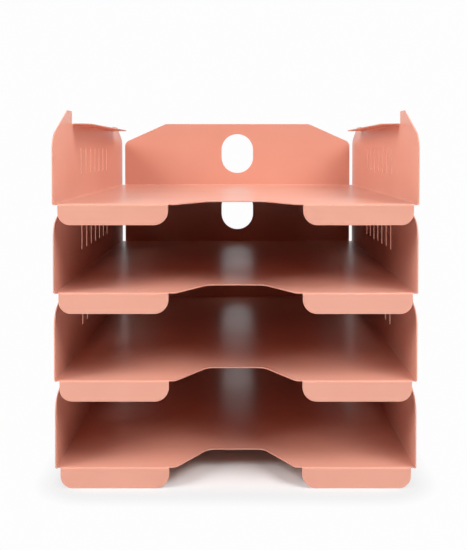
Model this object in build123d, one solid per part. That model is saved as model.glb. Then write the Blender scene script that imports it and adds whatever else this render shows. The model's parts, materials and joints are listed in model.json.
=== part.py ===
from build123d import *
import os

# Stack of four letter trays, each folded from one steel sheet. All sizes are in millimetres.
# The trays are alike but for the tabs of their side walls: a tray springs those of the one below outwards.
# The stack stands on z = 0 with its open front towards -Y. The origin is under its middle.
# A tray's own frame has X from its middle, Y from the front face of its lips and Z from its floor.

tray_names = ["bottom", "lower_middle", "upper_middle", "top"]

# Sheet and folds
sheet = 0.9
fold_inside = 0.6            # inside radius of every fold
fold_outside = fold_inside + sheet

# Tray, over its outside faces
tray_width = 250.0
tray_depth = 320.0
tray_height = 61.0           # from its floor to the floor of the tray above

# Front lips: they hang from the floor's front edge and the tray stands on them
lip_drop = 14.5              # floor to the lips' lower edge
lip_notch_gap = 4.5          # from the notch's mouth to the lips' near ends
lip_corner_gap = 2.2         # between a lip's far end and the fold of the side wall
lip_inner_round = 9.8
lip_outer_round = 8.5

# Finger notch in the floor between the lips
notch_depth = 35.0           # behind the lips' front face
notch_mouth = 83.0           # width where the slanted edges meet the front edge
notch_width = 41.0           # width where they meet the notch's rear edge
notch_mouth_round = 5.0
notch_rear_round = 8.0

# Flanges: turned inwards from the side walls, they carry the tray above
flange_width = 15.0          # from the side wall's outside face
flange_round = 5.0
flange_relief = 1.0          # gap between a flange's end and the tab beside it

# Front and rear tabs of the side walls. They step outwards round the tray above. On the top tray they are
# straight, because nothing stands between them.
front_tab_start = 47.0       # behind the lips' front face
front_tab_length = 15.0
front_tab_rise = 5.2         # above the floor of the tray above
rear_tab_inset = 35.0        # from the back wall's rear face to the tab's rear end
rear_tab_length = 29.0
rear_tab_drop = 0.5          # below the floor of the tray above
tab_clearance = 0.3          # to the side wall of the tray above
tab_step_rise = 2.2          # height over which a tab steps outwards
tab_round = 0.5

# Ends of the side walls, which slant down from the tabs and then stand upright
front_slant_drop = 20.3      # from the front tab's top to the corner below the slant
front_slant_round = 12.5
rear_slant_drop = 13.8       # from the rear tab's top to the corner below the slant
rear_slant_round = 9.0
wall_rear_gap = 1.5          # between the side walls' rear edges and the back wall's rear face

# Back wall
back_rise = 4.5              # above the floor of the tray above
back_slant_width = 43.9      # of each slanted corner
back_slant_drop = 19.7
back_corner_round = 6.5
back_top_round = 10.0
back_slit = 2.8              # open corner between the back wall and a side wall
corner_relief = 2.0          # how far the slit runs on into the floor

# Round-ended finger hole in the back wall
hole_width = 34.0
hole_height = 42.0
hole_below_top = 31.8        # from the back wall's top edge to the hole's middle

# Row of round-ended slots in each side wall
slot_count = 7
slot_pitch = 20.0
slot_width = 3.2
slot_height = 21.0
slot_middle_height = 28.5    # above the floor
slot_row_forward = 4.0       # from the middle of the tray's depth to the middle of the row

# Pads under the floor, which rest on the flanges of the tray below
pad_diameter = 8.0
pad_thickness = 3.1
pad_edge_round = 0.3
front_pad_depth = 80.0       # behind the lips' front face
rear_pad_inset = 85.0        # from the back wall's rear face

# Rear feet, as tall as the lips, so that a tray stands level
foot_top_diameter = 13.0
foot_bottom_diameter = 10.5
foot_edge_round = 1.0
foot_side_inset = 15.0       # from the side wall's outside face to the foot's middle
foot_back_inset = 20.0       # from the back wall's rear face to the foot's middle

# Between the back walls of two trays, one standing on the other
back_clearance = 1.3

# Places worked out from the sizes above
half_width = tray_width / 2
fold_line = half_width - fold_outside        # where the floor ends and the side folds start
back_fold_line = tray_depth - fold_outside
lip_inner_end = notch_mouth / 2 + lip_notch_gap
lip_outer_end = fold_line - lip_corner_gap
back_half_width = half_width - sheet - back_slit
flange_top = tray_height - sheet - pad_thickness
flange_edge = half_width - flange_width
tab_step = sheet + tab_clearance
tab_step_top = tray_height
tab_step_bottom = tray_height - tab_step_rise
front_tab_end = front_tab_start + front_tab_length
rear_tab_end = tray_depth - rear_tab_inset
rear_tab_start = rear_tab_end - rear_tab_length
front_tab_top = tray_height + front_tab_rise
rear_tab_top = tray_height - rear_tab_drop
back_height = tray_height + back_rise
foot_height = lip_drop - sheet
stack_forward = sheet + back_clearance
stack_depth = tray_depth + (len(tray_names) - 1) * stack_forward


def along_depth(section, start, end):
    """Extrude a section drawn in X and Z from depth start to depth end."""
    return extrude(Plane.XZ.offset(-start) * section, start - end)


def along_width(section, start, end):
    """Extrude a section drawn in Y and Z from X = start to X = end."""
    return extrude(Plane.YZ.offset(start) * section, end - start)


def block(x_low, x_high, y_low, y_high):
    """A rectangle in a section, given by its two low and two high sides."""
    return Pos(x_low, y_low) * Rectangle(x_high - x_low, y_high - y_low, align=Align.MIN)


def fold_section(middle_x, middle_y, side_x, side_y):
    """A quarter ring of sheet about the fold's middle, on the side that the two signs give."""
    ring = Circle(fold_outside) - Circle(fold_inside)
    half = fold_outside / 2
    quarter = Pos(side_x * half, side_y * half) * Rectangle(fold_outside, fold_outside)
    return Pos(middle_x, middle_y) * (ring & quarter)


def rounded_outline(corners):
    """A face through corners given as x, y and the radius of their round, which is 0 where they are sharp."""
    outline = make_face(Polyline([(x, y) for x, y, radius in corners], close=True))
    for x, y, radius in corners:
        if radius > 0:
            corner = outline.vertices().sort_by_distance((x, y, 0))[0]
            outline = fillet(corner, radius)
    return outline


def both_sides(piece):
    return piece + mirror(piece, about=Plane.YZ)


def make_floor():
    plan = rounded_outline([
        (-fold_line, fold_outside, 0),
        (-notch_mouth / 2, fold_outside, notch_mouth_round),
        (-notch_width / 2, notch_depth, notch_rear_round),
        (notch_width / 2, notch_depth, notch_rear_round),
        (notch_mouth / 2, fold_outside, notch_mouth_round),
        (fold_line, fold_outside, 0),
        (fold_line, back_fold_line, 0),
        (-fold_line, back_fold_line, 0),
    ])
    slit = block(back_half_width, fold_line, back_fold_line - corner_relief, back_fold_line)
    plan = plan - slit - mirror(slit, about=Plane.YZ)
    return extrude(plan, -sheet)


def make_side_wall(step):
    """The right side wall with its fold, its slots, its flange and its two tabs, stepped outwards by step."""
    inside = half_width - sheet
    section = fold_section(fold_line, fold_inside, 1, -1)
    section += block(inside, half_width, fold_inside, tab_step_bottom)
    section += make_face(Polyline([
        (inside, tab_step_bottom),
        (inside + step, tab_step_top),
        (inside + step, front_tab_top),
        (half_width + step, front_tab_top),
        (half_width + step, tab_step_top),
        (half_width, tab_step_bottom),
    ], close=True))

    flange_fold = flange_top - fold_outside
    rear_edge = tray_depth - wall_rear_gap
    outline = rounded_outline([
        (0, -sheet, 0),
        (0, front_tab_top - front_slant_drop, front_slant_round),
        (front_tab_start, front_tab_top, tab_round),
        (front_tab_end, front_tab_top, tab_round),
        (front_tab_end, flange_fold, 0),
        (rear_tab_start, flange_fold, 0),
        (rear_tab_start, rear_tab_top, tab_round),
        (rear_tab_end, rear_tab_top, tab_round),
        (rear_edge, rear_tab_top - rear_slant_drop, rear_slant_round),
        (rear_edge, -sheet, 0),
    ])

    row_middle = tray_depth / 2 - slot_row_forward
    for index in range(slot_count):
        slot_depth = row_middle + (index - (slot_count - 1) / 2) * slot_pitch
        slot = SlotOverall(slot_height, slot_width, rotation=90)
        outline -= Pos(slot_depth, slot_middle_height) * slot

    wall = along_depth(section, 0, tray_depth) & along_width(outline, fold_line, half_width + step)
    return wall + make_flange()


def make_flange():
    """The right flange, from the front tab to the rear tab, with its two free corners rounded."""
    section = fold_section(fold_line, flange_top - fold_outside, 1, 1)
    section += block(flange_edge, fold_line, flange_top - sheet, flange_top)
    flange = along_depth(section, front_tab_end + flange_relief, rear_tab_start - flange_relief)
    corners = flange.edges().filter_by(Axis.Z).group_by(Axis.X)[0]
    return fillet(corners, flange_round)


def make_lip():
    """The right front lip, with its two lower corners rounded."""
    section = fold_section(fold_outside, -fold_outside, -1, 1)
    section += block(0, sheet, -lip_drop, -fold_outside)
    lip = along_width(section, lip_inner_end, lip_outer_end)
    corners = lip.edges().filter_by(Axis.Y).group_by(Axis.Z)[0].sort_by(Axis.X)
    lip = fillet(corners[0], lip_inner_round)
    corners = lip.edges().filter_by(Axis.Y).group_by(Axis.Z)[0].sort_by(Axis.X)
    return fillet(corners[-1], lip_outer_round)


def make_back_wall():
    section = fold_section(back_fold_line, fold_inside, 1, -1)
    section += block(tray_depth - sheet, tray_depth, fold_inside, back_height)
    wall = along_width(section, -back_half_width, back_half_width)
    top_half_width = back_half_width - back_slant_width
    corner_height = back_height - back_slant_drop
    outline = rounded_outline([
        (-back_half_width, -sheet, 0),
        (-back_half_width, corner_height, back_corner_round),
        (-top_half_width, back_height, back_top_round),
        (top_half_width, back_height, back_top_round),
        (back_half_width, corner_height, back_corner_round),
        (back_half_width, -sheet, 0),
    ])
    hole_middle = back_height - hole_below_top
    outline -= Pos(0, hole_middle) * SlotOverall(hole_height, hole_width, rotation=90)
    return wall & along_depth(outline, back_fold_line, tray_depth)


def make_tray(step):
    tray = make_floor() + both_sides(make_side_wall(step))
    return tray + both_sides(make_lip()) + make_back_wall()


def make_pad():
    """A flat round pad whose top face is stuck under the floor."""
    pad = Pos(0, 0, -sheet - pad_thickness / 2) * Cylinder(pad_diameter / 2, pad_thickness)
    return fillet(pad.edges().sort_by(Axis.Z)[0], pad_edge_round)


def make_foot():
    """A slightly tapered foot whose top face is stuck under the floor."""
    foot = Cone(foot_bottom_diameter / 2, foot_top_diameter / 2, foot_height)
    foot = Pos(0, 0, -sheet - foot_height / 2) * foot
    return fillet(foot.edges().sort_by(Axis.Z)[0], foot_edge_round)


def export(piece, node):
    piece.label = node
    export_step(piece, f"parts/{node}.step")


os.makedirs("parts", exist_ok=True)

lower_tray = make_tray(tab_step)
top_tray = make_tray(0)
pad = make_pad()
foot = make_foot()
pad_side = (fold_line + flange_edge) / 2                    # middle of the flange's flat part
rear_pad_depth = tray_depth - rear_pad_inset
foot_side = half_width - foot_side_inset
foot_depth = tray_depth - foot_back_inset

for level, tray_name in enumerate(tray_names):
    trays_above = len(tray_names) - 1 - level
    front = trays_above * stack_forward - stack_depth / 2
    place = Pos(0, front, lip_drop + level * tray_height)
    tray = lower_tray if trays_above else top_tray
    export(place * tray, f"{tray_name}_tray")
    for side_name, side in (("left", -1), ("right", 1)):
        export(place * Pos(side * pad_side, front_pad_depth) * pad, f"{tray_name}_{side_name}_front_pad")
        export(place * Pos(side * pad_side, rear_pad_depth) * pad, f"{tray_name}_{side_name}_rear_pad")
        export(place * Pos(side * foot_side, foot_depth) * foot, f"{tray_name}_{side_name}_rear_foot")
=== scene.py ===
import bpy
import bmesh
import json
import math
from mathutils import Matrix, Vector

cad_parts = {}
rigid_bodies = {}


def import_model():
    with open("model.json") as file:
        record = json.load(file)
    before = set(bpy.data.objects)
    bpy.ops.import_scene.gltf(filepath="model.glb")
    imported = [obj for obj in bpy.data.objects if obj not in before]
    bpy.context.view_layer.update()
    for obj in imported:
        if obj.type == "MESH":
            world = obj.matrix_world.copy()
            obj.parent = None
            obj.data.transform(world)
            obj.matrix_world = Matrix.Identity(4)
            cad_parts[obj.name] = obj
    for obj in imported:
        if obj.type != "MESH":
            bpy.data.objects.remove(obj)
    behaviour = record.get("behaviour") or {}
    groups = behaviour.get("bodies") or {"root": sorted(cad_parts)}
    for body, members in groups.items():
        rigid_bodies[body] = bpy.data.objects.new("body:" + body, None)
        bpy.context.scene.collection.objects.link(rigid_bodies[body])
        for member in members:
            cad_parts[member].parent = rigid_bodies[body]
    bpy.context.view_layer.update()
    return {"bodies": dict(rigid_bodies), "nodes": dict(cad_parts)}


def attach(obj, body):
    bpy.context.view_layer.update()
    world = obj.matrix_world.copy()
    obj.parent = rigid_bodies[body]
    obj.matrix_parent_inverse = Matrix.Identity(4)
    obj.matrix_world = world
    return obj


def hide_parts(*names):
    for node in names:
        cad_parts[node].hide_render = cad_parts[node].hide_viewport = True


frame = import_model()
scene = bpy.context.scene
mm = 0.001


def newMaterial(name):
    material = bpy.data.materials.new(name)
    material.use_nodes = True
    nodes, links = material.node_tree.nodes, material.node_tree.links
    nodes.clear()
    shader = nodes.new("ShaderNodeBsdfPrincipled")
    output = nodes.new("ShaderNodeOutputMaterial")
    links.new(shader.outputs["BSDF"], output.inputs["Surface"])
    return material, nodes, links, shader


def noiseOn(nodes, links, coordinates, scale, detail, roughness=0.5):
    noise = nodes.new("ShaderNodeTexNoise")
    noise.inputs["Scale"].default_value = scale
    noise.inputs["Detail"].default_value = detail
    noise.inputs["Roughness"].default_value = roughness
    links.new(coordinates, noise.inputs["Vector"])
    return noise.outputs["Fac"]


def rangeOf(nodes, links, value, source, target):
    mapRange = nodes.new("ShaderNodeMapRange")
    for name, number in zip(("From Min", "From Max", "To Min", "To Max"), (*source, *target)):
        mapRange.inputs[name].default_value = number
    links.new(value, mapRange.inputs["Value"])
    return mapRange.outputs["Result"]


def colourBetween(nodes, links, factor, first, second):
    mix = nodes.new("ShaderNodeMix")
    mix.data_type = "RGBA"
    mix.inputs["A"].default_value = (*first, 1)
    mix.inputs["B"].default_value = (*second, 1)
    links.new(factor, mix.inputs["Factor"])
    return mix.outputs["Result"]


def reliefOn(nodes, links, coordinates, scale, detail, height, under=None):
    bump = nodes.new("ShaderNodeBump")
    bump.inputs["Distance"].default_value = height
    links.new(noiseOn(nodes, links, coordinates, scale, detail), bump.inputs["Height"])
    if under:
        links.new(under, bump.inputs["Normal"])
    return bump.outputs["Normal"]


powderCoat = {
    "colour": (0.705, 0.322, 0.236),
    "thinColour": (0.723, 0.342, 0.254),  # where the coat is a little thinner
    "patches": (14.0, 3.0),               # scale and detail: soft patches, about 70 mm across
    "patchEdge": (0.35, 0.65),            # the noise values over which the colour changes
    "roughness": (0.33, 0.28),            # from the full coat to the thin one
    "roughnessEdge": (0.3, 0.7),
    "gloss": 0.35,
    "reliefs": {                          # scale, detail and height of each
        "sheetWave": (9.0, 1.0, 0.06 * mm),
        "orangePeel": (700.0, 1.0, 0.004 * mm),  # about 1.4 mm across
        "grain": (3200.0, 2.0, 0.001 * mm),
    },
}


def makePowderCoat():
    material, nodes, links, shader = newMaterial("satinPowderCoat")
    shader.inputs["Specular IOR Level"].default_value = powderCoat["gloss"]
    place = nodes.new("ShaderNodeTexCoord").outputs["Object"]
    patches = noiseOn(nodes, links, place, *powderCoat["patches"])
    thinness = rangeOf(nodes, links, patches, powderCoat["patchEdge"], (0.0, 1.0))
    colour = colourBetween(nodes, links, thinness, powderCoat["colour"], powderCoat["thinColour"])
    links.new(colour, shader.inputs["Base Color"])
    roughness = rangeOf(nodes, links, patches, powderCoat["roughnessEdge"], powderCoat["roughness"])
    links.new(roughness, shader.inputs["Roughness"])
    normal = None
    for scale, detail, height in powderCoat["reliefs"].values():
        normal = reliefOn(nodes, links, place, scale, detail, height, normal)
    links.new(normal, shader.inputs["Normal"])
    return material


rubber = {
    "colour": (0.028, 0.027, 0.026),
    "dustColour": (0.060, 0.057, 0.054),
    "dust": (180.0, 4.0, 0.6),            # scale, detail and roughness of the noise
    "dustEdge": (0.45, 0.75),
    "roughness": (0.62, 0.78),            # from clean to dusty
    "roughnessEdge": (0.3, 0.7),
    "grain": (1500.0, 3.0, 0.02 * mm),    # scale, detail and height
}


def makeRubber():
    material, nodes, links, shader = newMaterial("mouldedRubber")
    place = nodes.new("ShaderNodeTexCoord").outputs["Object"]
    dust = noiseOn(nodes, links, place, *rubber["dust"])
    dustiness = rangeOf(nodes, links, dust, rubber["dustEdge"], (0.0, 1.0))
    colour = colourBetween(nodes, links, dustiness, rubber["colour"], rubber["dustColour"])
    links.new(colour, shader.inputs["Base Color"])
    roughness = rangeOf(nodes, links, dust, rubber["roughnessEdge"], rubber["roughness"])
    links.new(roughness, shader.inputs["Roughness"])
    links.new(reliefOn(nodes, links, place, *rubber["grain"]), shader.inputs["Normal"])
    return material


powderCoatMaterial = makePowderCoat()
rubberMaterial = makeRubber()
print("materials ready")


# Each tray is the frame's folded sheet with its cut edges blunted, as the coat leaves them.
cutEdges = {
    "mergeWithin": 0.002 * mm,
    "flatWithin": math.radians(1),
    "sharperThan": math.radians(50),
    "width": 0.22 * mm,
    "segments": 2,
}


def finishTray(node, body):
    bm = bmesh.new()
    bm.from_mesh(frame["nodes"][node].data)
    bmesh.ops.remove_doubles(bm, verts=bm.verts, dist=cutEdges["mergeWithin"])
    bmesh.ops.dissolve_limit(bm, angle_limit=cutEdges["flatWithin"], verts=bm.verts, edges=bm.edges)
    sharp = [edge for edge in bm.edges if edge.calc_face_angle(0) > cutEdges["sharperThan"]]
    bmesh.ops.bevel(bm, geom=sharp, affect="EDGES", offset=cutEdges["width"],
                    segments=cutEdges["segments"], profile=0.5, material=-1, clamp_overlap=False)
    for face in bm.faces:
        face.smooth = True
    mesh = bpy.data.meshes.new(node + "_sheet")
    bm.to_mesh(mesh)
    bm.free()
    mesh.materials.append(powderCoatMaterial)
    tray = bpy.data.objects.new(node + "_sheet", mesh)
    scene.collection.objects.link(tray)
    weighted = tray.modifiers.new("flatFacesFirst", "WEIGHTED_NORMAL")
    weighted.keep_sharp = True
    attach(tray, body)
    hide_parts(node)


for body in frame["bodies"]:
    finishTray(body + "_tray", body)
print("trays finished")


# The pads and feet keep the frame's shapes.
for name, node in frame["nodes"].items():
    if name.endswith("_pad") or name.endswith("_foot"):
        node.data.materials.clear()
        node.data.materials.append(rubberMaterial)
print("pads and feet finished")


# Under the stack the floor is plainly lit. Clear of it the camera sees a glowing white sweep instead,
# dimmed near the stack as a painted contact shadow.
stage = {
    "floorSize": 12.0,
    "floorColour": (0.82, 0.83, 0.83),
    "floorRoughness": 0.9,
    "floorGloss": 0.1,
    "underStack": (99 * mm, 142 * mm),    # half the width and depth that stays plain lit floor
    "fade": 32 * mm,                      # from there to where only the sweep shows
    "sweepWithPaintedShade": (0.69, 0.985),               # its glow at the edge of that floor, dimmed there as painted shade, and its even white beyond its reach
    # over this distance from the lit floor the painted shade brightens to even white
    "paintedShadeReach": 44 * mm,
}


def mathOf(nodes, links, operation, first, second=None):
    node = nodes.new("ShaderNodeMath")
    node.operation = operation
    for value, socket in zip((first, second), node.inputs):
        if isinstance(value, (int, float)):
            socket.default_value = value
        elif value is not None:
            links.new(value, socket)
    return node.outputs[0]


def distanceFromStack(nodes, links):
    place = nodes.new("ShaderNodeSeparateXYZ")
    links.new(nodes.new("ShaderNodeTexCoord").outputs["Object"], place.inputs[0])
    squares = []
    for axis, half in zip("XY", stage["underStack"]):
        away = mathOf(nodes, links, "ABSOLUTE", place.outputs[axis])
        past = mathOf(nodes, links, "SUBTRACT", away, half)
        past = mathOf(nodes, links, "MAXIMUM", past, 0.0)
        squares.append(mathOf(nodes, links, "MULTIPLY", past, past))
    return mathOf(nodes, links, "SQRT", mathOf(nodes, links, "ADD", *squares))


def makeFloorMaterial():
    material, nodes, links, shader = newMaterial("paleFloorWithPaintedShade")
    shader.inputs["Base Color"].default_value = (*stage["floorColour"], 1)
    shader.inputs["Roughness"].default_value = stage["floorRoughness"]
    shader.inputs["Specular IOR Level"].default_value = stage["floorGloss"]
    seen = nodes.new("ShaderNodeLightPath").outputs["Is Camera Ray"]
    distance = distanceFromStack(nodes, links)
    sweepWithPaintedShade = nodes.new("ShaderNodeEmission")
    # Painted shade: the glow is dimmer near the stack and reaches even white further out.
    white = rangeOf(nodes, links, distance, (0.0, stage["paintedShadeReach"]), stage["sweepWithPaintedShade"])
    links.new(white, sweepWithPaintedShade.inputs["Strength"])
    clearness = rangeOf(nodes, links, distance, (0.0, stage["fade"]), (0.0, 1.0))
    clearness.node.interpolation_type = "SMOOTHSTEP"
    whole = nodes.new("ShaderNodeMixShader")
    links.new(mathOf(nodes, links, "MULTIPLY", clearness, seen), whole.inputs["Fac"])
    links.new(shader.outputs["BSDF"], whole.inputs[1])
    links.new(sweepWithPaintedShade.outputs["Emission"], whole.inputs[2])
    output = next(node for node in nodes if node.type == "OUTPUT_MATERIAL")
    links.new(whole.outputs["Shader"], output.inputs["Surface"])
    return material


def makeFloor():
    bm = bmesh.new()
    bmesh.ops.create_grid(bm, x_segments=1, y_segments=1, size=stage["floorSize"] / 2)
    mesh = bpy.data.meshes.new("floor")
    bm.to_mesh(mesh)
    bm.free()
    mesh.materials.append(makeFloorMaterial())
    floor = bpy.data.objects.new("floor", mesh)
    scene.collection.objects.link(floor)


studio = {
    "white": 0.985,                       # what the camera sees
    "light": (0.0, 0.60),                 # light on the object, from before it and from behind it
    "gloss": (0.05, 0.8),                 # what the satin coat reflects there
    "turn": (-0.1, 0.3),                  # how far back a ray points where before turns to behind
}


def makeWorld():
    world = bpy.data.worlds.new("studio")
    scene.world = world
    world.use_nodes = True
    nodes, links = world.node_tree.nodes, world.node_tree.links
    nodes.clear()
    path = nodes.new("ShaderNodeLightPath")
    way = nodes.new("ShaderNodeSeparateXYZ")
    links.new(nodes.new("ShaderNodeTexCoord").outputs["Generated"], way.inputs[0])

    def background(strength):
        node = nodes.new("ShaderNodeBackground")
        node.inputs["Color"].default_value = (1, 1, 1, 1)
        if isinstance(strength, float):
            node.inputs["Strength"].default_value = strength
        else:
            links.new(strength, node.inputs["Strength"])
        return node.outputs["Background"]

    def choose(ray, otherwise, chosen):
        node = nodes.new("ShaderNodeMixShader")
        links.new(path.outputs[ray], node.inputs["Fac"])
        links.new(otherwise, node.inputs[1])
        links.new(chosen, node.inputs[2])
        return node.outputs["Shader"]

    light = background(rangeOf(nodes, links, way.outputs["Y"], studio["turn"], studio["light"]))
    gloss = background(rangeOf(nodes, links, way.outputs["Y"], studio["turn"], studio["gloss"]))
    unseen = choose("Is Glossy Ray", light, gloss)
    output = nodes.new("ShaderNodeOutputWorld")
    links.new(choose("Is Camera Ray", unseen, background(studio["white"])), output.inputs["Surface"])


lamps = {
    "distance": 1.8,
    "size": 1.0,
    "target": (0, 0, 0.13),
    "boxes": {                            # degrees round from the front, degrees up, watts
        "key": (-62, 35, 22.8),
        "frontLeft": (-42, 45, 6.0),
        "frontRight": (42, 45, 14.5),
        "lowRight": (62, 35, 5.2),
        "highRight": (62, 55, 12.3),
    },
}


def makeLamps():
    target = Vector(lamps["target"])
    for name, (around, up, power) in lamps["boxes"].items():
        light = bpy.data.lights.new(name, "AREA")
        light.shape = "SQUARE"
        light.size = lamps["size"]
        light.energy = power
        around, up = math.radians(around), math.radians(up)
        way = Vector((math.sin(around) * math.cos(up), -math.cos(around) * math.cos(up), math.sin(up)))
        lamp = bpy.data.objects.new(name, light)
        lamp.location = target + way * lamps["distance"]
        lamp.rotation_euler = (-way).to_track_quat("-Z", "Y").to_euler()
        scene.collection.objects.link(lamp)


makeFloor()
makeWorld()
makeLamps()
print("floor and lights ready")


# The photograph's view. Its verticals stay parallel, so the lens points above the picture's middle.
view = {
    "imageWidth": 467,
    "imageHeight": 550,
    "focal": 793.28,                      # in pixels
    "middle": (240.094, 165.0),           # where the lens points, in pixels
    "eye": (3.031 * mm, -702.07 * mm, 232.88 * mm),
    "down": math.radians(0.943),
    "sensor": 36.0,
    "nearest": 10 * mm,
}


def makeCamera():
    data = bpy.data.cameras.new("camera")
    longSide = max(view["imageWidth"], view["imageHeight"])
    data.sensor_width = view["sensor"]
    data.lens = view["focal"] * view["sensor"] / longSide
    data.shift_x = (view["imageWidth"] / 2 - view["middle"][0]) / longSide
    data.shift_y = (view["middle"][1] - view["imageHeight"] / 2) / longSide
    data.clip_start = view["nearest"]
    camera = bpy.data.objects.new("camera", data)
    camera.location = view["eye"]
    camera.rotation_euler = (math.radians(90) - view["down"], 0, 0)
    scene.collection.objects.link(camera)
    scene.camera = camera


makeCamera()
scene.view_settings.view_transform = "Standard"
